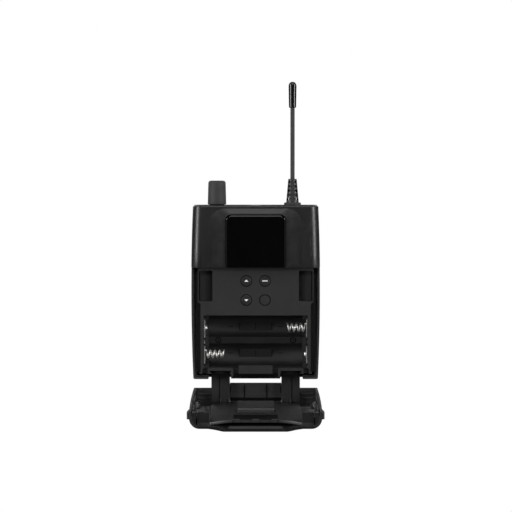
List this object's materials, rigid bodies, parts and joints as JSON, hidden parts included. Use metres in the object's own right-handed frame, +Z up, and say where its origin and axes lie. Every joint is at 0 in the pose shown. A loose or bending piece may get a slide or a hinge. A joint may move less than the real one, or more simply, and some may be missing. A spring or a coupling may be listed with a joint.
{
  "type": "wireless bodypack",
  "caption": "Belt-worn wireless audio pack with a display window, rotary knob, flexible whip antenna and a hinged door over an open two-cell battery bay",
  "frame": {"origin": "On the flat back face, midway across, at the height where a belt's upper edge comes to rest under the clip's lugs", "axes": "+Z up along the antenna, +Y out of the back towards the wearer, -Y out of the front, +X to the right as seen from the front; drawn with the battery door hanging open"},
  "size_m": [0.0744, 0.071, 0.1887],
  "materials": {
    "housing_plastic": "fine textured matt black",
    "tray_plastic": "matt black",
    "door_plastic": "fine textured matt black",
    "lens": "glossy smoked black",
    "soft_black": "matt rubber",
    "tip_black": "glossy black",
    "key_black": "satin black",
    "ir_black": "dark infrared-clear plastic",
    "display": "grey module",
    "board": "green solder mask",
    "tin": "tinned steel",
    "nickel": "bright nickel plate",
    "screw_steel": "zinc-plated steel",
    "spring_steel": "blackened spring wire",
    "pot_case": "dark plastic"
  },
  "bodies": {
    "pack": {"front_housing": "housing_plastic", "rear_housing": "housing_plastic", "battery_tray": "tray_plastic", "tray_screws": "screw_steel", "case_screws": "screw_steel", "hinge_pins": "screw_steel", "display_lens": "lens", "lens_gasket": "soft_black", "lcd_module": "display", "lcd_carrier": "pot_case", "main_board": "board", "rf_shield": "tin", "switch_bodies": "pot_case", "ir_window": "ir_black", "ir_sensor": "ir_black", "pot_body": "pot_case", "pot_nut": "nickel", "antenna_base": "key_black", "antenna_nut": "nickel", "antenna_boot": "soft_black", "antenna_whip": "soft_black", "antenna_tip": "tip_black", "audio_jack": "pot_case", "jack_nut": "nickel", "contact_link": "nickel", "contact_positive": "nickel", "contact_negative": "nickel", "spring_upper": "nickel", "spring_lower": "nickel"},
    "door": {"door_shell": "door_plastic", "door_frame": "door_plastic", "cell_pad": "door_plastic"},
    "catch_l": {"catch_left": "door_plastic"},
    "catch_r": {"catch_right": "door_plastic"},
    "knob": {"volume_knob": "key_black", "knob_shaft": "screw_steel"},
    "key_up": {"button_up": "key_black", "switch_plunger_up": "pot_case"},
    "key_down": {"button_down": "key_black", "switch_plunger_down": "pot_case"},
    "key_menu": {"button_menu": "key_black", "switch_plunger_menu": "pot_case"},
    "clip": {"belt_clip": "spring_steel"}
  },
  "joints": [
    {"name": "door_hinge", "type": "hinge", "parent": "pack", "child": "door", "pos_m": [0, -0.0059, -0.0649], "axis": [-1, 0, 0], "range_deg": [0, 96]},
    {"name": "catch_left_press", "type": "slide", "parent": "door", "child": "catch_l", "axis": [1, 0, 0], "range_m": [0, 0.0008], "stiffness_N_per_m": 1500},
    {"name": "catch_right_press", "type": "slide", "parent": "door", "child": "catch_r", "axis": [-1, 0, 0], "range_m": [0, 0.0008], "stiffness_N_per_m": 1500},
    {"name": "volume_turn", "type": "hinge", "parent": "pack", "child": "knob", "pos_m": [-0.02145, -0.0135, 0.0336], "axis": [0, 0, 1], "range_deg": [-280, 0]},
    {"name": "key_up_press", "type": "slide", "parent": "pack", "child": "key_up", "axis": [0, 1, 0], "range_m": [0, 0.0004], "stiffness_N_per_m": 2500},
    {"name": "key_down_press", "type": "slide", "parent": "pack", "child": "key_down", "axis": [0, 1, 0], "range_m": [0, 0.0004], "stiffness_N_per_m": 2500},
    {"name": "key_menu_press", "type": "slide", "parent": "pack", "child": "key_menu", "axis": [0, 1, 0], "range_m": [0, 0.0004], "stiffness_N_per_m": 2500},
    {"name": "clip_swing", "type": "hinge", "parent": "pack", "child": "clip", "pos_m": [0, 0.003, 0.0056], "axis": [1, 0, 0], "range_deg": [0, 12], "stiffness_Nm_per_rad": 0.6}
  ]
}
